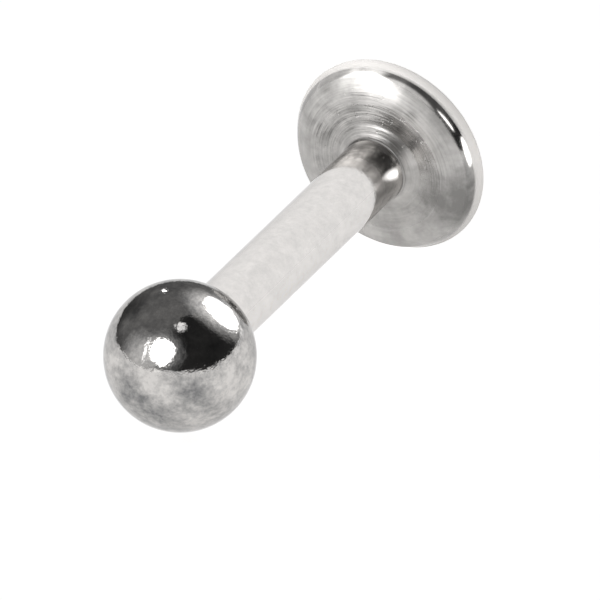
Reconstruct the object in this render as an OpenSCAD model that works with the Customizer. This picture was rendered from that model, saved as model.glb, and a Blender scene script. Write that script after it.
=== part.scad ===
// Labret stud, internally threaded: a disc on a post, and a ball whose pin screws into the post.
// Lengths are in millimetres. The stud lies on a flat surface at z = 0, on the disc's rim and on the ball.
// The post runs along Y, leaning up from the ball at -Y to the disc at +Y.

/* [Disc] */
// Diameter of the disc
disc_d = 4.0; // [3:0.1:6]
// Thickness of the disc, from its back to its flat face
disc_t = 0.65; // [0.5:0.05:0.8]
// Thickness of the disc's edge, which is a full round
edge_t = 0.28; // [0.2:0.02:0.4]
// Width of the rounded shoulder between the edge and the flat face
shoulder_w = 0.59; // [0.5:0.01:0.7]
// Height of the collar on the disc, round the post's foot
collar_h = 0.13; // [0.1:0.01:0.2]
// Width of the collar's top and of its base, outside the post
collar_top_w = 0.045; // [0.04:0.005:0.08]
collar_base_w = 0.255; // [0.2:0.005:0.3]

/* [Post] */
// Diameter of the post
post_d = 1.29; // [1.2:0.01:1.65]
// Length from the disc's flat face to the post's mouth
post_len = 6.35; // [4:0.05:12]
// Chamfer round the outside of the post's mouth
mouth_chamfer = 0.05; // [0.02:0.01:0.08]
// Fillet round the post's foot
foot_fillet = 0.04; // [0.02:0.01:0.08]
// Diameter of the spigot that is let into the disc
spigot_d = 0.8; // [0.6:0.05:1]
// Length of the spigot
spigot_len = 0.24; // [0.15:0.01:0.3]

/* [Ball] */
// Diameter of the ball
ball_d = 2.9; // [2.5:0.1:5]

/* [Threaded pin] */
// Diameter over the crests of the pin's thread
pin_d = 0.84; // [0.76:0.02:0.9]
// Length of the pin from the ball's seat to its tip
pin_len = 1.7; // [1.2:0.1:2.5]
// Chamfer round the pin's tip
tip_chamfer = 0.1; // [0.05:0.01:0.15]
// Diameter of the pin's shank inside the ball
shank_d = 0.62; // [0.4:0.02:0.8]
// Length of the pin's shank inside the ball
shank_len = 0.9; // [0.5:0.1:1.5]

/* [Thread] */
// Pitch of the thread
thread_pitch = 0.225; // [0.2:0.005:0.3]
// Depth of the grooves on the pin
pin_groove = 0.1; // [0.06:0.01:0.12]
// Depth of the grooves in the bore
bore_groove = 0.05; // [0.03:0.01:0.08]
// Countersink round the mouth of the bore
countersink = 0.06; // [0.02:0.01:0.08]

/* [Fits] */
// Gap between pieces that are fixed to each other
fixed_gap = 0.01; // [0.005:0.005:0.02]
// Gap between the ball's seat and the post's mouth
seat_gap = 0.02; // [0.01:0.005:0.05]
// Clearance between the crests of the pin and of the bore
thread_gap = 0.03; // [0.02:0.01:0.05]
// Room between the pin's tip and the floor of the bore
tip_room = 0.35; // [0.2:0.05:0.8]

/* [Hidden] */
$fn = 72;

// Shares of the pitch that a groove takes at its mouth and at its floor
groove_mouth = 7 / 8;
groove_floor = 1 / 4;
// How far a cut runs past the surface that it opens through
past = 0.1;
// Where the shoulder meets the round of the edge, in degrees up from its outermost point
crease_at = 55;

disc_r = disc_d / 2;
rim_r = edge_t / 2;
rim_ring_r = disc_r - rim_r;
post_r = post_d / 2;
ball_r = ball_d / 2;
pin_r = pin_d / 2;
bore_r = pin_r + thread_gap;

// The shoulder's round leaves the flat face at face_r and comes down to the crease
face_r = disc_r - shoulder_w;
crease = [rim_ring_r + rim_r * cos(crease_at), rim_r + rim_r * sin(crease_at)];
drop = disc_t - crease[1];
shoulder_r = (pow(crease[0] - face_r, 2) + drop * drop) / (2 * drop);

// Heights along the stud's own axis, from the back of the disc to the ball
collar_z = disc_t + collar_h;
foot_z = collar_z + fixed_gap;
mouth_z = disc_t + post_len;
seat_z = mouth_z + seat_gap;
bore_depth = pin_len - seat_gap + tip_room;
ball_z = seat_z + sqrt(ball_r * ball_r - post_r * post_r);

// How the stud lies: span is from the middle of the disc's edge to the ball's centre
span = ball_z - rim_r;
lean = atan2(rim_ring_r, span) - asin((ball_r - rim_r) / norm([rim_ring_r, span]));
length_on_floor = ball_r + span * cos(lean) + rim_ring_r * sin(lean) + rim_r;
disc_back_y = length_on_floor / 2 - rim_r - rim_ring_r * sin(lean) + rim_r * cos(lean);
disc_back_z = rim_ring_r * cos(lean) + rim_r + rim_r * sin(lean);

// Corners of the thread's grooves, from first_z in steps of the pitch; a groove of negative depth cuts outwards
function grooves(count, first_z, step, crest_r, depth) = [
    for (i = [0 : count - 1], half = [-groove_mouth, -groove_floor, groove_floor, groove_mouth] / 2)
        [abs(half) < groove_mouth / 2 ? crest_r - depth : crest_r, first_z + step * (i + 0.5 + half)]
];

// Turns an outline of [radius, height] corners about the stud's axis
module turned(outline) {
    rotate_extrude() polygon(outline);
}

// A solid round bar from z = from to z = to
module bar(r, from, to) {
    translate([0, 0, from]) cylinder(r = r, h = to - from);
}

// Lays the stud down from its own axis, +Z from the disc to the ball, onto the surface
module lay_down() {
    translate([0, disc_back_y, disc_back_z]) rotate([90 + lean, 0, 0]) children();
}

// Half of the disc's section: a thin rounded edge, a flat face with a round shoulder, and the collar
module disc_section() {
    square([rim_ring_r, edge_t]);
    translate([rim_ring_r, rim_r]) circle(r = rim_r);
    square([face_r, disc_t]);
    intersection() {
        translate([face_r, disc_t - shoulder_r]) circle(r = shoulder_r);
        translate([0, rim_r]) square([disc_r, disc_t]);
    }
    polygon([
        [0, rim_r], [post_r + collar_base_w, rim_r], [post_r + collar_base_w, disc_t],
        [post_r + collar_top_w, collar_z], [0, collar_z]
    ]);
}

module disc() {
    color("silver") lay_down() difference() {
        rotate_extrude() intersection() {
            disc_section();
            square([disc_r + past, collar_z + past]);
        }
        bar(spigot_d / 2 + fixed_gap, collar_z - spigot_len - fixed_gap, collar_z + past);
    }
}

// The space inside the post: a countersink, then rings of thread, then a plain end
module threaded_bore() {
    floor_z = mouth_z - bore_depth;
    threaded = bore_depth - countersink - thread_pitch;
    turned(concat(
        [[0, mouth_z + past], [bore_r + countersink + past, mouth_z + past], [bore_r, mouth_z - countersink]],
        grooves(floor(threaded / thread_pitch), mouth_z - countersink, -thread_pitch, bore_r, -bore_groove),
        [[bore_r, floor_z], [0, floor_z]]
    ));
}

module post() {
    color("gainsboro") lay_down() difference() {
        turned([
            [0, collar_z - spigot_len], [spigot_d / 2, collar_z - spigot_len], [spigot_d / 2, foot_z],
            [post_r + foot_fillet, foot_z], [post_r, foot_z + foot_fillet],
            [post_r, mouth_z - mouth_chamfer], [post_r - mouth_chamfer, mouth_z], [0, mouth_z]
        ]);
        threaded_bore();
    }
}

module ball() {
    color("lightgray") lay_down() difference() {
        translate([0, 0, ball_z]) sphere(r = ball_r);
        bar(ball_r, seat_z - ball_r, seat_z);
        bar(shank_d / 2 + fixed_gap, seat_z - past, seat_z + shank_len + fixed_gap);
    }
}

module threaded_pin() {
    threaded = pin_len - tip_chamfer;
    tip_z = seat_z - pin_len;
    color("darkgray") lay_down() turned(concat(
        [[0, seat_z + shank_len], [shank_d / 2, seat_z + shank_len], [shank_d / 2, seat_z - fixed_gap]],
        [[pin_r, seat_z - fixed_gap]],
        grooves(floor(threaded / thread_pitch), seat_z - fixed_gap, -thread_pitch, pin_r, pin_groove),
        [[pin_r, tip_z + tip_chamfer], [pin_r - tip_chamfer, tip_z], [0, tip_z]]
    ));
}

disc();
post();
ball();
threaded_pin();
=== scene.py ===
"""Labret stud: fine meshes, metal finishes and studio light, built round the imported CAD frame.

Lengths are in metres, and those written times MM are in millimetres. The stud's own axes have Z along the
post, from the disc's back at zero to the ball, so each turned piece is an outline of (radius, height) points.
"""

import math
import random

import bpy
from mathutils import Matrix, Vector


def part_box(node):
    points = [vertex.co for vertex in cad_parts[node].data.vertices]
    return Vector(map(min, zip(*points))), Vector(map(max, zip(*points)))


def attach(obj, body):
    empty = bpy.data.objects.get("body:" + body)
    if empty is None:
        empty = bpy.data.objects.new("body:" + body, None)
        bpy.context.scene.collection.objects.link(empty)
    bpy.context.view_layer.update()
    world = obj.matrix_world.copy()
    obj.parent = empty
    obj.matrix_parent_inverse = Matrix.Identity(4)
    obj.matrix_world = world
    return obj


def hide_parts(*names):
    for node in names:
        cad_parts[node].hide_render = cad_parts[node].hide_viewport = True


MM = 0.001

# The photograph's frame: its side and the ball's centre in pixels, and what its side spans on the stud
PHOTO_SIDE = 600
BALL_PIXEL = (180.0, 355.7)
PHOTO_SPAN = 11.38 * MM
CAMERA_AZIMUTH = 29.2
CAMERA_ELEVATION = 28.1
CAMERA_DISTANCE = 350 * MM

# The disc, whose shoulder meets its edge at a crease so many degrees up from the edge's outermost point
EDGE_R = 0.14 * MM
SHOULDER_WIDTH = 0.59 * MM
CREASE_AT = 55
COLLAR_HEIGHT = 0.13 * MM
COLLAR_TOP_WIDTH = 0.045 * MM
COLLAR_BASE_WIDTH = 0.255 * MM
SPIGOT_R = 0.4 * MM
SPIGOT_LENGTH = 0.24 * MM
FIXED_GAP = 0.01 * MM

# The rings of its turned face: width and depth, the shares of them that a ring may have, where in its width
# a ring is deepest, and the seed of the draws
RING_WIDTH = 0.036 * MM
RING_DEPTH = 0.003 * MM
WIDTH_SHARES = (0.6, 1.6)
DEPTH_SHARES = (0.15, 1)
DEEPEST_AT = 0.55
RING_SEED = 4

# The post
FOOT_FILLET = 0.04 * MM
MOUTH_ROUND = 0.05 * MM
TIP_ROOM = 0.35 * MM
COUNTERSINK = 0.06 * MM

# The pin and the ball's seat
SHANK_R = 0.31 * MM
TIP_CHAMFER = 0.1 * MM
SEAT_ROUND = 0.015 * MM

# The thread. A groove's mouth and floor are shares of the pitch, and it deepens at the start of the thread
# and dies out at its end by so many full depths a turn.
THREAD_PITCH = 0.225 * MM
PIN_GROOVE = 0.1 * MM
BORE_GROOVE = 0.05 * MM
THREAD_GAP = 0.03 * MM
GROOVE_MOUTH = 7 / 8
GROOVE_FLOOR = 1 / 4
GROOVE_STARTS = 1.5
GROOVE_ENDS = 3

# How fine the meshes are: steps round a piece, round the pin, along a pitch and along each kind of outline,
# and the angle in degrees from which an edge between two faces is sharp
SIDES = 256
THREAD_SIDES = 96
ROWS_PER_PITCH = 16
EDGE_STEPS = 40
SHOULDER_STEPS = 48
BARREL_STEPS = 40
ROUND_STEPS = 8
SPHERE_STEPS = 150
SHARP_FROM = 32

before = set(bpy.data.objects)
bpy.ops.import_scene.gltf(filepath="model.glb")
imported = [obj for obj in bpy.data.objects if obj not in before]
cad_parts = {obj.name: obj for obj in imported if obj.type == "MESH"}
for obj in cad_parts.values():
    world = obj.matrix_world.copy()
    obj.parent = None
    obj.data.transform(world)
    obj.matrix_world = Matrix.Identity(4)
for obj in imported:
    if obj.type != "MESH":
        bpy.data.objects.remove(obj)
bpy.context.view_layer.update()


def stud_axes():
    """The ball's radius and centre and the matrix of the stud's own axes, from the CAD ball and disc."""
    ball_low, ball_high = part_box("ball")
    disc_low, disc_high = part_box("disc")
    radius = (ball_high.x - ball_low.x) / 2
    centre = ball_low + Vector((radius, radius, radius))
    disc_middle = (disc_low + disc_high) / 2
    along = (centre - disc_middle).normalized()
    across = Vector((1, 0, 0))
    turn = Matrix((across, along.cross(across), along)).transposed()
    heights = [(v.co - disc_middle).dot(along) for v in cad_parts["disc"].data.vertices]
    origin = disc_middle + along * min(heights)
    return radius, centre, Matrix.Translation(origin) @ turn.to_4x4()


ball_r, ball_centre, stud = stud_axes()


def corners(node):
    """(radius, height) of each corner of a CAD node, in the stud's own axes."""
    to_stud = stud.inverted()
    places = [to_stud @ v.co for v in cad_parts[node].data.vertices]
    return [(math.hypot(p.x, p.y), p.z) for p in places]


def measure():
    """The sizes that the pieces share, read from the CAD nodes."""
    disc, post, ball, pin = (corners(n) for n in ("disc", "post", "ball", "threaded_pin"))
    mouth = max(h for r, h in post)
    return {
        "disc_r": max(r for r, h in disc),
        "collar": max(h for r, h in disc),
        "foot": min(h for r, h in post) + SPIGOT_LENGTH + FIXED_GAP,
        "post_r": max(r for r, h in post if h > mouth / 2),
        "mouth": mouth,
        "seat": min(h for r, h in ball),
        "ball": (stud.inverted() @ ball_centre).z,
        "pin_r": max(r for r, h in pin),
        "tip": min(h for r, h in pin),
        "shank": max(h for r, h in pin),
    }


size = measure()


def towards(azimuth, elevation):
    """The unit vector towards a place in the room: azimuth 0 is at -Y and 90 at +X."""
    azimuth, elevation = math.radians(azimuth), math.radians(elevation)
    flat = math.cos(elevation)
    return Vector((math.sin(azimuth) * flat, -math.cos(azimuth) * flat, math.sin(elevation)))


def on_ball(azimuth, elevation):
    """The place on the ball that faces such a place in the room, in the stud's axes in millimetres."""
    return stud.inverted() @ (ball_centre + towards(azimuth, elevation) * ball_r) / MM


def round_stud(angle, radius, height):
    """A place in the stud's axes: angle 0 is at the top as the stud lies, and 90 degrees is at +X."""
    angle = math.radians(angle)
    return Vector((math.sin(angle) * radius, math.cos(angle) * radius, height))


def arc(centre, radius, start, end, steps):
    """Points of an arc from one angle to another, where 0 degrees points outwards and 90 towards the ball."""
    angles = [math.radians(start + (end - start) * i / steps) for i in range(steps + 1)]
    return [(centre[0] + radius * math.cos(a), centre[1] + radius * math.sin(a)) for a in angles]


def turned(name, outline, sides=SIDES):
    """A closed mesh turned about the stud's axis. A radius in the outline may be a function of the angle."""
    points, faces, rows = [], [], []
    for radius, height in outline:
        if radius == 0:
            rows.append([len(points)] * sides)
            points.append((0, 0, height))
            continue
        rows.append(range(len(points), len(points) + sides))
        for i in range(sides):
            angle = 2 * math.pi * i / sides
            r = radius(angle) if callable(radius) else radius
            points.append((r * math.cos(angle), r * math.sin(angle), height))
    for lower, upper in zip(rows, rows[1:]):
        for i in range(sides):
            j = (i + 1) % sides
            corner = [lower[i], lower[j], upper[j], upper[i]]
            faces.append(list(dict.fromkeys(corner)))
    mesh = bpy.data.meshes.new(name)
    mesh.from_pydata(points, [], faces)
    mesh.validate()
    mesh.shade_smooth()
    mesh.set_sharp_from_angle(angle=math.radians(SHARP_FROM))
    piece = bpy.data.objects.new(name, mesh)
    bpy.context.scene.collection.objects.link(piece)
    piece.matrix_world = stud
    return piece


def turning_marks(start, end, height):
    """Points of a turned face from one radius to another, cut into fine uneven rings."""
    draws = random.Random(RING_SEED)
    points = []
    radius = start
    while radius < end - RING_WIDTH:
        width = RING_WIDTH * draws.uniform(*WIDTH_SHARES)
        low = RING_DEPTH * draws.uniform(*DEPTH_SHARES)
        points += [(radius, height), (radius + width * DEEPEST_AT, height - low)]
        radius += width
    return points + [(end, height)]


def make_disc():
    """The disc: a collar, a turned face, a round shoulder, a thin round edge and a plain back."""
    top, post_r = size["collar"], size["post_r"]
    socket_r = SPIGOT_R + FIXED_GAP
    socket = top - SPIGOT_LENGTH - FIXED_GAP
    collar = [(0, socket), (socket_r, socket), (socket_r, top), (post_r + COLLAR_TOP_WIDTH, top)]
    face = top - COLLAR_HEIGHT
    face_r = size["disc_r"] - SHOULDER_WIDTH
    marks = turning_marks(post_r + COLLAR_BASE_WIDTH, face_r, face)
    edge = arc((size["disc_r"] - EDGE_R, EDGE_R), EDGE_R, CREASE_AT, -90, EDGE_STEPS)
    crease_r, crease = edge[0]
    drop = face - crease
    shoulder_r = ((crease_r - face_r) ** 2 + drop**2) / (2 * drop)
    middle = face - shoulder_r
    steep = math.degrees(math.asin((crease - middle) / shoulder_r))
    shoulder = arc((face_r, middle), shoulder_r, 90, steep, SHOULDER_STEPS)[1:-1]
    return turned("turned_disc", collar + marks + shoulder + edge + [(0, 0)])


def thread_wave(turns):
    """Depth of a thread's groove, from 0 at its crest to 1 at its floor, at a place counted in turns."""
    off = abs(turns % 1 - 0.5) * 2
    return min(1, max(0, (GROOVE_MOUTH - off) / (GROOVE_MOUTH - GROOVE_FLOOR)))


def thread_rows(top, bottom, crest, groove, limit=lambda height, radius: radius):
    """Rows of a helical thread from one height to another. limit says how far out a row may reach."""
    steps = round(abs(top - bottom) / THREAD_PITCH * ROWS_PER_PITCH)
    rows = []
    for i in range(steps + 1):
        height = top + (bottom - top) * i / steps

        def radius(angle, height=height):
            from_top, to_bottom = abs(height - top) / THREAD_PITCH, abs(height - bottom) / THREAD_PITCH
            turns = (height - top) / THREAD_PITCH - angle / (2 * math.pi)
            fade = min(1, from_top * GROOVE_STARTS, to_bottom * GROOVE_ENDS)
            return limit(height, crest - groove * thread_wave(turns) * fade)

        rows.append((radius, height))
    return rows


def make_post():
    """The post: a spigot in the disc, a filleted foot, a rounded mouth and a blind threaded bore."""
    foot, mouth, post_r = size["foot"], size["mouth"], size["post_r"]
    bore_r = size["pin_r"] + THREAD_GAP
    floor = size["tip"] - TIP_ROOM
    spigot = [(0, foot - SPIGOT_LENGTH), (SPIGOT_R, foot - SPIGOT_LENGTH), (SPIGOT_R, foot)]
    barrel_foot = foot + FOOT_FILLET
    fillet = arc((post_r + FOOT_FILLET, barrel_foot), FOOT_FILLET, 270, 180, ROUND_STEPS)
    barrel_length = mouth - MOUTH_ROUND - barrel_foot
    barrel = [(post_r, barrel_foot + barrel_length * i / BARREL_STEPS) for i in range(1, BARREL_STEPS)]
    lip = arc((post_r - MOUTH_ROUND, mouth - MOUTH_ROUND), MOUTH_ROUND, 0, 90, ROUND_STEPS)
    bevel = [(bore_r + COUNTERSINK, mouth)]
    thread_end = floor + THREAD_PITCH
    thread = thread_rows(mouth - COUNTERSINK, thread_end, bore_r, -BORE_GROOVE)[:-1]
    end = [(bore_r, thread_end), (bore_r, floor), (0, floor)]
    return turned("polished_post", spigot + fillet + barrel + lip + bevel + thread + end)


def make_ball():
    """The ball: a sphere with a ground seat and a blind hole for the pin's shank."""
    seat, middle = size["seat"], size["ball"]
    seat_angle = math.degrees(math.asin((middle - seat) / ball_r))
    sphere = arc((0, middle), ball_r, 90, -seat_angle, SPHERE_STEPS)
    # The sphere's first point is put exactly on the axis, where turned() makes one corner of it
    sphere[0] = (0, sphere[0][1])
    seat_r = sphere.pop()[0]
    seat_face = [(seat_r, seat + SEAT_ROUND / 2), (seat_r - SEAT_ROUND, seat)]
    hole_r = SHANK_R + FIXED_GAP
    depth = size["shank"] + FIXED_GAP
    hole = [(hole_r, seat), (hole_r, depth), (0, depth)]
    return turned("mirror_ball", sphere + seat_face + hole)


def make_pin():
    """The pin: a plain shank in the ball and a helical thread with a chamfered tip."""
    top = size["seat"] - FIXED_GAP
    tip, pin_r = size["tip"], size["pin_r"]

    def within_chamfer(height, radius):
        return min(radius, pin_r - TIP_CHAMFER + (height - tip))

    thread = thread_rows(top, tip, pin_r, PIN_GROOVE, within_chamfer)
    shank = [(0, size["shank"]), (SHANK_R, size["shank"]), (SHANK_R, top)]
    return turned("machined_pin", shank + thread + [(0, tip)], THREAD_SIDES)


# The finishes. A noise is its changes a millimetre, detail and roughness. A range is a low and a high value
# and, where it isn't 0 and 1, what they are carried to. A pair of colours is clean and then dull.
WHITE = (1, 1, 1, 1)
# How bright polished steel stays where it is seen at a grazing angle
EDGE_TINT = 0.8

# The ball's finish
BALL_COLOURS = ((0.64, 0.62, 0.60), (0.20, 0.20, 0.202))
BALL_DULLNESS = (0.9, 1.65)
BALL_BLOTCHES = (5.5, 4, 0.65)
BALL_CLOUDS = (1.5, 4, 0.62)
BALL_GRAIN = (15, 3, 0.7)
CLOUD_WEIGHT = 1.1
GRAIN_WEIGHT = 0.45
BALL_ROUGHNESS = (0.35, 0.7, 0.03, 0.11)
BALL_SWELL = (3.2, 1, 0.5)
SWELL_DEPTH = 0.0045 * MM
BALL_PEEL = (12, 2, 0.6)
PEEL_DEPTH = 0.003 * MM

# The post's finish, with the height on the stud where the dull seam at its foot begins and where it is full
POST_COLOURS = ((0.78, 0.755, 0.735), (0.65, 0.635, 0.62))
POST_DULLNESS = (0.3, 0.7)
POST_CLOUDS = (4.5, 5, 0.7)
# The colour of the painted dark reflection of the disc on the post's foot
NECK_REFLECTION_COLOUR = (0.16, 0.155, 0.15)
POST_SMEARS = (14, 3, 0.5)
POST_ROUGHNESS = (0.3, 0.8, 0.05, 0.1)
POST_SPECKLES = (16, 3, 0.6)
SPECKLE_DEPTH = 0.0008 * MM
SEAM_HEIGHTS = (0.86, 0.82)
SEAM_COLOUR = (0.36, 0.35, 0.34)
SEAM_ROUGHNESS = 0.4

# The disc's zones: the radii and the heights in millimetres where each one begins and where it is full
ZONE_RADII = {
    "collar": (0.93, 0.9),
    "satin": (1.2, 1.4),
    "shoulder": (1.36, 1.46),
    "polished": (1.815, 1.86),
    "outer": (1.84, 1.87),
    "tip": (1.93, 1.95),
}
ZONE_HEIGHTS = {
    "low": (0.26, 0.25),
    "back": (0.12, 0.08),
}
# The disc's roughness on its flat face, and then in the zones, each over the ones before it
FACE_ROUGHNESS = 0.27
ZONE_ROUGHNESS = {
    "shoulder": 0.42,
    "collar": 0.36,
    "polished": 0.12,
    "back": 0.16,
    "edge": 0.7,
}
# How much of the metal's mirror is lost in the disc's satin zone and on its edge
SATIN_LOSS = 0.28
EDGE_LOSS = 0.5

# The disc's colours: its face with clouds and uneven rings, its plain back and its edge
FACE_COLOURS = ((0.58, 0.565, 0.55), (0.18, 0.176, 0.17))
FACE_DULLNESS = (0.1, 0.9)
BACK_COLOURS = ((0.56, 0.545, 0.53), (0.45, 0.44, 0.43))
BACK_DULLNESS = (0.3, 0.7)
EDGE_COLOUR = (0.52, 0.506, 0.492)
DISC_CLOUDS = (1.8, 4, 0.65)
# Its rings: changes a millimetre outwards and along a ring, their noise, and how far the gleam is drawn out,
# with the quarter turn that lays it across them
FINE_RINGS = (26, 1.0)
COARSE_RINGS = (11, 0.9)
RING_NOISE = (1.0, 3, 0.6)
RING_ANISOTROPY = 0.6
ACROSS_RINGS = 0.25
# The rings show less outwards, less on one side of the face than towards the other, and in patches
RING_STRENGTH = (1.4, 1.8, 1.4, 0.3)
RINGS_STRONGER_TOWARDS = (-0.2, 0.95, 0)
RING_SIDE_STRENGTH = (-0.5, 1.2, 0.12, 1.1)
RING_PATCHES = (2.4, 2, 0.5)
PATCH_STRENGTH = (0.36, 0.62, 0.45, 1.7)
# The relief of the rings and nicks fades out between these radii
RELIEF_STRENGTH = (1.35, 1.8, 1.0, 0.0)
WAVE_DEPTH = 0.018 * MM
CUT_DEPTH = 0.006 * MM
DISC_NICKS = (8, 2, 0.6)
NICK_EDGES = (0.62, 0.7)
NICK_DEPTH = -0.006 * MM

# The pin's finish. Its marks follow the turning, because their noise is finer along the stud.
PIN_COLOURS = ((0.62, 0.61, 0.6), (0.48, 0.475, 0.47))
PIN_DULLNESS = (0.3, 0.75)
PIN_MARKS = (9, 3, 0.6)
PIN_STRETCH = (1, 1, 9)
PIN_ROUGHNESS = (0.3, 0.8, 0.16, 0.32)
PIN_MARK_DEPTH = 0.003 * MM

# The floor's finish
FLOOR_COLOURS = ((0.9, 0.9, 0.9), (0.92, 0.92, 0.92))
FLOOR_TOOTH = (0.5, 3, 0.5)
FLOOR_GLOW = 0.76

# Marks are in full strength inside this share of their radius, and fade out from there
MARK_CORE = 0.25
# Painted reflections on the ball, patches of colour that stand in for what it mirrors: azimuth, elevation,
# radius in millimetres, and how much darker or, below zero, paler
BALL_PAINTED_REFLECTIONS = [
    ("clean under the lamp", 10, 6, 0.55, -0.2),
    ("brown at the left", -10, -14, 0.6, 0.2),
    ("grey at the right", 38, -1, 0.5, 0.16),
    ("band below", 15, -20, 0.5, 0.16),
    ("pale right side", 80, 4, 0.75, -0.27),
    ("pale left side", -34, 4, 0.6, -0.22),
]
# Painted reflections on the disc, highlights and shade painted into its colour: degrees round from the top,
# distance from the axis, and the rest as on the ball. They are just under its flat face, at this height.
MARK_HEIGHT = 0.62
DISC_PAINTED_REFLECTIONS = [
    ("pale at the upper right", 42, 1.4, 0.55, -0.35),
    ("dull at the lower right", 103, 1.6, 0.85, 0.42),
    ("grey below", 165, 1.3, 0.45, 0.08),
    ("dull at the left", -70, 1.4, 0.5, 0.12),
    ("bright above the foot", -5, 1.0, 0.45, -0.26),
    ("bright at the top", 2, 1.7, 0.65, -0.36),
    ("smudge at the upper right", 31, 1.5, 0.2, 0.34),
    ("smudge beside the foot", 30, 1.12, 0.17, 0.34),
    ("bright beside the foot", 62, 0.92, 0.3, -0.4),
]
# The painted dark reflection of the disc on the post's foot: degrees round from the top, height on the
# stud, radius and strength
NECK_PAINTED_REFLECTION = [
    ("dark at the upper right", 20, 1.15, 0.65, 0.88),
    ("grey at the top", -8, 0.9, 0.42, 0.38),
]


def graph(tree):
    """A function that adds a node to a tree, sets its values and links what is a socket."""

    def add(kind, inputs=None, **settings):
        made = tree.nodes.new(kind)
        for key, value in settings.items():
            setattr(made, key, value)
        for key, value in (inputs or {}).items():
            socket = made.inputs[key]
            if isinstance(value, bpy.types.NodeSocket):
                tree.links.new(value, socket)
            else:
                socket.default_value = value
        return made

    return add


def finish_of(name):
    """A new material with its graph function and its place on the stud in millimetres."""
    material = bpy.data.materials.new(name)
    material.use_nodes = True
    tree = material.node_tree
    tree.nodes.clear()
    add = graph(tree)
    place = add("ShaderNodeTexCoord").outputs["Object"]
    return material, add, vectors(add, "SCALE", {0: place, "Scale": 1 / MM})


def calc(add, operation, *values, clamp=False):
    """What a Math node makes of two or three numbers."""
    return add("ShaderNodeMath", dict(enumerate(values)), operation=operation, use_clamp=clamp).outputs[0]


def vectors(add, operation, inputs, output="Vector"):
    """What a Vector Math node makes of its inputs."""
    return add("ShaderNodeVectorMath", inputs, operation=operation).outputs[output]


def noise(add, place, scale, detail, roughness):
    """Smooth noise from 0 to 1 at a place."""
    inputs = {"Vector": place, "Scale": scale, "Detail": detail, "Roughness": roughness}
    return add("ShaderNodeTexNoise", inputs, noise_dimensions="3D").outputs[0]


def span(add, value, low, high, start=0.0, end=1.0, kind="LINEAR"):
    """value from low..high carried to start..end, and kept inside them."""
    inputs = {"Value": value, "From Min": low, "From Max": high, "To Min": start, "To Max": end}
    return add("ShaderNodeMapRange", inputs, interpolation_type=kind).outputs["Result"]


def mix_numbers(add, share, first, second):
    """The first number where share is 0, the second where it is 1."""
    return add("ShaderNodeMix", {0: share, 2: first, 3: second}, data_type="FLOAT").outputs[0]


def mix_colours(add, share, first, second):
    """The first colour where share is 0, the second where it is 1."""
    inputs = {0: share}
    for key, colour in ((6, first), (7, second)):
        inputs[key] = (*colour, 1) if isinstance(colour, tuple) else colour
    return add("ShaderNodeMix", inputs, data_type="RGBA").outputs[2]


def bump(add, height, depth, below=None):
    """A normal bent by a height, which is depth deep where it is 1, over the normal of what is below."""
    inputs = {"Height": height, "Distance": depth, "Strength": 1.0}
    if below is not None:
        inputs["Normal"] = below
    return add("ShaderNodeBump", inputs).outputs[0]


def shade(add, colour, roughness, normal, metallic=1.0, edge_tint=EDGE_TINT, tangent=None):
    """Ends a material's graph in a metal shader. Its gleam is drawn out across a tangent, if there is one."""
    inputs = {"Base Color": colour, "Metallic": metallic, "Roughness": roughness, "Normal": normal}
    inputs["Specular Tint"] = (edge_tint, edge_tint, edge_tint, 1)
    if tangent is not None:
        inputs |= {"Anisotropic": RING_ANISOTROPY, "Anisotropic Rotation": ACROSS_RINGS, "Tangent": tangent}
    shader = add("ShaderNodeBsdfPrincipled", inputs)
    add("ShaderNodeOutputMaterial", {"Surface": shader.outputs[0]})


def marked(add, place, value, marks):
    """A value that is raised or lowered round some places on the stud."""
    for name, spot, radius, change in marks:
        off = vectors(add, "DISTANCE", {0: place, 1: spot}, "Value")
        near = span(add, off, radius, radius * MARK_CORE, 0.0, change, "SMOOTHSTEP")
        near.node.label = name
        value = calc(add, "ADD", value, near)
    return value


def from_axis(add, place):
    """A place without its height, and its distance from the axis."""
    flat = vectors(add, "MULTIPLY", {0: place, 1: (1, 1, 0)})
    return flat, vectors(add, "LENGTH", {0: flat}, "Value")


def rings(add, place, outwards, along):
    """Noise in rings round the stud's axis, by its changes a millimetre outwards and along a ring."""
    flat, radius = from_axis(add, place)
    aside = vectors(add, "SCALE", {0: flat, "Scale": along})
    lift = add("ShaderNodeCombineXYZ", {"Z": calc(add, "MULTIPLY", radius, outwards)}).outputs[0]
    return noise(add, vectors(add, "ADD", {0: aside, 1: lift}), *RING_NOISE)


def mirror_steel():
    """The ball's finish: a mirror with a fine orange peel, cloudy patches and small dull blotches."""
    material, add, place = finish_of("mirror_steel")
    blotches = noise(add, place, *BALL_BLOTCHES)
    dull_and_painted_light = calc(add, "MULTIPLY_ADD", noise(add, place, *BALL_CLOUDS), CLOUD_WEIGHT, blotches)
    dull_and_painted_light = calc(add, "MULTIPLY_ADD", noise(add, place, *BALL_GRAIN), GRAIN_WEIGHT, dull_and_painted_light)
    # Painted reflections: the ball's colour is made darker or paler in patches where it mirrors dark or
    # bright
    marks = [(name, on_ball(azimuth, elevation), *rest) for name, azimuth, elevation, *rest in BALL_PAINTED_REFLECTIONS]
    dull_and_painted_light = marked(add, place, dull_and_painted_light, marks)
    colour = mix_colours(add, span(add, dull_and_painted_light, *BALL_DULLNESS), *BALL_COLOURS)
    roughness = span(add, blotches, *BALL_ROUGHNESS)
    swell = bump(add, noise(add, place, *BALL_SWELL), SWELL_DEPTH)
    normal = bump(add, noise(add, place, *BALL_PEEL), PEEL_DEPTH, swell)
    shade(add, colour, roughness, normal)
    return material


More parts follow.
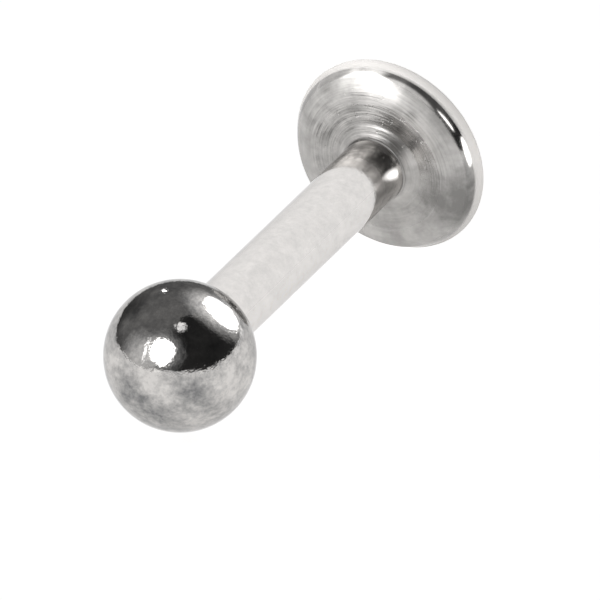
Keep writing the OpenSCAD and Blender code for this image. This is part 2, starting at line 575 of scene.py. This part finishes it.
def polished_steel():
    """The post's finish: a polished barrel, faint speckles, a painted dark reflection and a seam at its foot.
    """
    material, add, place = finish_of("polished_steel")
    height = add("ShaderNodeSeparateXYZ", {0: place}).outputs[2]
    seam = span(add, height, *SEAM_HEIGHTS)
    clouds = noise(add, place, *POST_CLOUDS)
    clean = mix_colours(add, span(add, clouds, *POST_DULLNESS), *POST_COLOURS)
    post_r = size["post_r"] / MM
    marks = [(name, round_stud(angle, post_r, up), *rest) for name, angle, up, *rest in NECK_PAINTED_REFLECTION]
    # The painted dark reflection of the disc on the post's foot
    with_painted_reflection = mix_colours(add, marked(add, place, 0.0, marks), clean, NECK_REFLECTION_COLOUR)
    colour = mix_colours(add, seam, with_painted_reflection, SEAM_COLOUR)
    roughness = span(add, noise(add, place, *POST_SMEARS), *POST_ROUGHNESS)
    roughness = mix_numbers(add, seam, roughness, SEAM_ROUGHNESS)
    normal = bump(add, noise(add, place, *POST_SPECKLES), SPECKLE_DEPTH)
    shade(add, colour, roughness, normal)
    return material


def disc_zones(add, place, radius):
    """How far a place on the disc is inside each of its zones, from 0 to 1."""
    height = add("ShaderNodeSeparateXYZ", {0: place}).outputs[2]
    zones = {name: span(add, radius, *limits) for name, limits in ZONE_RADII.items()}
    zones |= {name: span(add, height, *limits) for name, limits in ZONE_HEIGHTS.items()}
    outside = calc(add, "MULTIPLY", zones["low"], zones["outer"])
    zones["edge"] = calc(add, "MAXIMUM", outside, zones["tip"])
    return zones


def disc_colour(add, place, radius, zones, fine, toward_top):
    """The disc's colour: clouds, uneven rings, painted reflections on the front, a plain back and a pale
    edge.
    """
    clouds = noise(add, place, *DISC_CLOUDS)
    strength = calc(add, "MULTIPLY", span(add, radius, *RING_STRENGTH), toward_top)
    patchy = span(add, noise(add, place, *RING_PATCHES), *PATCH_STRENGTH)
    strength = calc(add, "MULTIPLY", strength, patchy)
    dull_and_painted_light = calc(add, "MULTIPLY_ADD", calc(add, "SUBTRACT", fine, 0.5), strength, clouds)
    # Painted reflections: painted highlights and painted shade added to the face's colour
    marks = [(name, round_stud(angle, out, MARK_HEIGHT), *rest) for name, angle, out, *rest in DISC_PAINTED_REFLECTIONS]
    dull_and_painted_light = marked(add, place, dull_and_painted_light, marks)
    front = mix_colours(add, span(add, dull_and_painted_light, *FACE_DULLNESS), *FACE_COLOURS)
    back = mix_colours(add, span(add, clouds, *BACK_DULLNESS), *BACK_COLOURS)
    both = mix_colours(add, zones["back"], front, back)
    return mix_colours(add, zones["edge"], both, EDGE_COLOUR)


def disc_relief(add, place, radius, zones, fine, toward_top):
    """The disc's normal: nicks and coarse and fine rings, which fade outwards and towards one side of the
    face.
    """
    coarse = rings(add, place, *COARSE_RINGS)
    nicks = span(add, noise(add, place, *DISC_NICKS), *NICK_EDGES)
    front = calc(add, "SUBTRACT", toward_top, zones["back"], clamp=True)
    share = calc(add, "MULTIPLY", span(add, radius, *RELIEF_STRENGTH), front)
    normal = None
    for height, depth in ((nicks, NICK_DEPTH), (coarse, WAVE_DEPTH), (fine, CUT_DEPTH)):
        normal = bump(add, calc(add, "MULTIPLY", height, share), depth, normal)
    return normal


def turned_steel():
    """The disc's finish: tool rings and nicks on its face, a satin shoulder and a pale satin edge."""
    material, add, place = finish_of("turned_steel")
    _, radius = from_axis(add, place)
    zones = disc_zones(add, place, radius)
    fine = rings(add, place, *FINE_RINGS)
    upper = vectors(add, "DOT_PRODUCT", {0: place, 1: RINGS_STRONGER_TOWARDS}, "Value")
    toward_top = span(add, upper, *RING_SIDE_STRENGTH)
    colour = disc_colour(add, place, radius, zones, fine, toward_top)
    roughness = FACE_ROUGHNESS
    for name, value in ZONE_ROUGHNESS.items():
        roughness = mix_numbers(add, zones[name], roughness, value)
    satin = calc(add, "SUBTRACT", zones["satin"], zones["polished"])
    satin = calc(add, "SUBTRACT", satin, zones["back"], clamp=True)
    metallic = calc(add, "MULTIPLY_ADD", satin, -SATIN_LOSS, 1.0)
    metallic = calc(add, "MULTIPLY_ADD", zones["edge"], -EDGE_LOSS, metallic)
    normal = disc_relief(add, place, radius, zones, fine, toward_top)
    tangent = add("ShaderNodeTangent", direction_type="RADIAL", axis="Z").outputs[0]
    shade(add, colour, roughness, normal, metallic, tangent=tangent)
    return material


def threaded_steel():
    """The pin's finish: machined, with marks that follow the turning."""
    material, add, place = finish_of("threaded_steel")
    marks = noise(add, vectors(add, "MULTIPLY", {0: place, 1: PIN_STRETCH}), *PIN_MARKS)
    colour = mix_colours(add, span(add, marks, *PIN_DULLNESS), *PIN_COLOURS)
    roughness = span(add, marks, *PIN_ROUGHNESS)
    shade(add, colour, roughness, bump(add, marks, PIN_MARK_DEPTH), edge_tint=1.0)
    return material


def white_card():
    """The floor's plain white, lit a little from below as a light table is."""
    material, add, place = finish_of("white_card")
    colour = mix_colours(add, noise(add, place, *FLOOR_TOOTH), *FLOOR_COLOURS)
    card = add("ShaderNodeBsdfDiffuse", {"Color": colour})
    glow = add("ShaderNodeEmission", {"Color": WHITE, "Strength": FLOOR_GLOW})
    both = add("ShaderNodeAddShader", {0: card.outputs[0], 1: glow.outputs[0]})
    add("ShaderNodeOutputMaterial", {"Surface": both.outputs[0]})
    return material


def place_camera():
    """A long lens that frames the stud as the photograph does."""
    data = bpy.data.cameras.new("camera")
    camera = bpy.data.objects.new("camera", data)
    bpy.context.scene.collection.objects.link(camera)
    back = towards(CAMERA_AZIMUTH, CAMERA_ELEVATION)
    right = towards(CAMERA_AZIMUTH + 90, 0)
    up = back.cross(right)
    stud_middle = (ball_centre + stud.translation) / 2
    depth = CAMERA_DISTANCE - back.dot(stud_middle - ball_centre)
    data.lens = data.sensor_width * depth / PHOTO_SPAN
    pixel = PHOTO_SPAN / PHOTO_SIDE * CAMERA_DISTANCE / depth
    middle = PHOTO_SIDE / 2
    aim = ball_centre + (right * (middle - BALL_PIXEL[0]) + up * (BALL_PIXEL[1] - middle)) * pixel
    camera.location = aim + back * CAMERA_DISTANCE
    camera.rotation_mode = "QUATERNION"
    camera.rotation_quaternion = (-back).to_track_quat("-Z", "Y")
    data.clip_start = 10 * MM
    bpy.context.scene.camera = camera


# What stands round the stud: azimuth, elevation, radius and softness in degrees, and brightness
ROOM_GREY = 0.16
ROOM = [
    ("lighter above", -60, 70, 40, 40, 0.26),
    ("dim left", -104, 0, 22, 36, 0.07),
    ("dark half of the room", 43, 5, 84, 5, 0.03),
    ("grey beside the front softbox", -90, 15, 78, 12, 0.2),
    ("dim left again", -104, 0, 22, 36, 0.07),
]
SUN_STRENGTH = 0.5
SUN_ANGLE = 150
FLOOR_HALF = 3.0

# Softboxes: azimuth, elevation, half their width and height and their turn in degrees, softness, brightness
# and distance in millimetres. Softness is the share of the radius over which the edge fades.
BALL_LIGHTS = [
    ("front softbox", -2, 31, 20.5, 20.5, 0, 0.12, 5.0, 300),
    ("halo of the front softbox", -2, 31, 40, 38, 0, 0.9, 0.6, 300),
    ("halo at the left", -38, 12, 40, 40, 0, 1.0, 0.62, 300),
    ("halo at the far left", -92, 14, 20, 20, 0, 1.0, 0.14, 300),
    ("table's near side", 35, 2.2, 45, 2.4, 0, 0.0, 0.95, 300),
    ("table's right side", 120, 3.0, 40, 3.1, 0, 0.0, 0.95, 300),
    ("strip beside the front softbox", -31, 24, 2.0, 20, 6, 0.4, 2.6, 300),
    ("rear softbox", 158, 30, 22, 22, 0, 0.15, 5.0, 300),
    ("halo of the rear softbox", 158, 38, 42, 42, 0, 1.0, 1.3, 300),
    ("lamp overhead", 34, 72, 10, 9, 0, 0.5, 1.8, 300),
    ("far lamp", -137, 30, 1.1, 5.0, 0, 0.3, 9.0, 300),
    ("card behind", 170, 8, 26, 10, 0, 0.6, 0.9, 300),
]
SWEEP = [
    ("sweep behind", 180, 25, 55, 25, 0, 0.0, 0.86, 2900),
]
POST_LIGHTS = [
    ("front card", 0, 35, 50, 34, 0, 0.5, 1.3, 300),
]
NECK_LIGHTS = [
    ("gleam beside the neck", 180, 3.8, 15, 22, 30, 0.85, 2.0, 1.0),
]
DISC_LIGHTS = [
    ("left softbox", -46, 33, 38, 31, -24, 0.32, 3.2, 300),
    ("left card", -106, 14, 34, 34, 0, 0.5, 1.1, 300),
    ("lower softbox", -12, 17, 15, 13, 0, 0.5, 4.2, 300),
    ("card over the left", -92, 51, 26, 25, 0, 0.6, 1.5, 300),
    ("card over the front", 7, 58, 35, 18, -24, 0.5, 1.2, 300),
    ("front fill", 24, 30, 30, 26, 0, 0.5, 0.05, 300),
    ("card above", 80, 68, 42, 42, 0, 0.5, 0.12, 300),
    ("right lamp", 87, 3.7, 10, 15, 0, 0.2, 5.0, 7.8),
    ("right strip", 66, 32, 14, 4.5, -66, 0.3, 5.0, 300),
    ("light for the satin edge", 100, 25, 50, 50, 0, 0.5, 0.6, 300),
    ("light for the satin shoulder", 30, 30, 50, 50, 0, 0.5, 1.6, 300),
]
NOT_MIRRORED = ("light for the satin edge", "light for the satin shoulder")
# The place beside the neck that its light faces, in the stud's axes in millimetres
NECK_PLACE = (1.04, 0.2, 1.67)


def light_room():
    """A dim room with a dark half, and a broad light from above that the steel doesn't mirror."""
    world = bpy.data.worlds.new("room")
    bpy.context.scene.world = world
    world.use_nodes = True
    tree = world.node_tree
    tree.nodes.clear()
    add = graph(tree)
    direction = add("ShaderNodeTexCoord").outputs["Generated"]
    light = ROOM_GREY
    for name, azimuth, elevation, radius, softness, brightness in ROOM:
        facing = vectors(add, "DOT_PRODUCT", {0: direction, 1: towards(azimuth, elevation)}, "Value")
        outer = math.cos(math.radians(radius + softness / 2))
        inner = math.cos(math.radians(radius - softness / 2))
        light = mix_numbers(add, span(add, facing, outer, inner, kind="SMOOTHSTEP"), light, brightness)
        light.node.label = name
    seen = add("ShaderNodeLightPath").outputs["Is Camera Ray"]
    shown = mix_numbers(add, seen, light, 1.0)
    background = add("ShaderNodeBackground", {"Color": shown, "Strength": 1.0})
    add("ShaderNodeOutputWorld", {"Surface": background.outputs[0]})

    sun = bpy.data.objects.new("overhead", bpy.data.lights.new("overhead", "SUN"))
    sun.data.energy = SUN_STRENGTH
    sun.data.angle = math.radians(SUN_ANGLE)
    sun.visible_glossy = False
    bpy.context.scene.collection.objects.link(sun)


def soften(data, softness):
    """Fades an area light out towards its edge."""
    data.use_nodes = True
    data.node_tree.nodes.clear()
    add = graph(data.node_tree)
    across = add("ShaderNodeNewGeometry").outputs["Parametric"]
    off = vectors(add, "SUBTRACT", {0: across, 1: (0.5, 0.5, 0)})
    _, reach = from_axis(add, off)
    fade = span(add, reach, 0.5, 0.5 * (1 - softness), kind="SMOOTHSTEP")
    glow = add("ShaderNodeEmission", {"Color": WHITE, "Strength": fade})
    add("ShaderNodeOutputLight", {"Surface": glow.outputs[0]})


def hang_lights(rows, centre, receivers):
    """Softboxes that face a place and light only one collection: round with a soft edge, or square."""
    for name, azimuth, elevation, width, height, turn, softness, brightness, distance in rows:
        data = bpy.data.lights.new(name, "AREA")
        data.shape = "ELLIPSE" if softness else "RECTANGLE"
        data.size = 2 * distance * MM * math.tan(math.radians(width))
        data.size_y = 2 * distance * MM * math.tan(math.radians(height))
        face = data.size * data.size_y * (math.pi / 4 if softness else 1)
        data.energy = brightness * math.pi * face
        if softness:
            soften(data, softness)
        light = bpy.data.objects.new(name, data)
        away = towards(azimuth, elevation)
        facing = (-away).to_track_quat("-Z", "Y").to_matrix() @ Matrix.Rotation(math.radians(turn), 3, "Z")
        light.matrix_world = Matrix.Translation(centre + away * distance * MM) @ facing.to_4x4()
        light.visible_camera = False
        light.visible_glossy = name not in NOT_MIRRORED
        bpy.context.scene.collection.objects.link(light)
        light.light_linking.receiver_collection = receivers


def lay_floor():
    """A wide white floor under the stud."""
    mesh = bpy.data.meshes.new("floor")
    places = [(x * FLOOR_HALF, y * FLOOR_HALF, 0) for x, y in ((-1, -1), (1, -1), (1, 1), (-1, 1))]
    mesh.from_pydata(places, [], [(0, 1, 2, 3)])
    floor = bpy.data.objects.new("floor", mesh)
    bpy.context.scene.collection.objects.link(floor)
    mesh.materials.append(white_card())


place_camera()

swept = bpy.data.collections.new("lit_by_the_sweep")
fronted = bpy.data.collections.new("lit_from_the_front")
carded = bpy.data.collections.new("lit_by_the_cards")
mirrored = bpy.data.collections.new("lit_by_the_lamps")

# The pieces: what makes each, its finish, its body, its CAD node, and the collections that give it its lights
PIECES = [
    (make_disc, turned_steel, "base", "disc", (swept, carded)),
    (make_post, polished_steel, "base", "post", (swept, fronted)),
    (make_ball, mirror_steel, "ball_end", "ball", (mirrored,)),
    (make_pin, threaded_steel, "ball_end", "threaded_pin", (swept, carded)),
]
for make, finish, body, node, lit in PIECES:
    piece = make()
    piece.data.materials.append(finish())
    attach(piece, body)
    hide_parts(node)
    for collection in lit:
        collection.objects.link(piece)

light_room()
hang_lights(BALL_LIGHTS, ball_centre, mirrored)
hang_lights(SWEEP, stud.translation, swept)
hang_lights(DISC_LIGHTS, stud.translation, carded)
hang_lights(POST_LIGHTS, stud.translation, fronted)
hang_lights(NECK_LIGHTS, stud @ (Vector(NECK_PLACE) * MM), fronted)
lay_floor()

bpy.context.scene.view_settings.view_transform = "Standard"
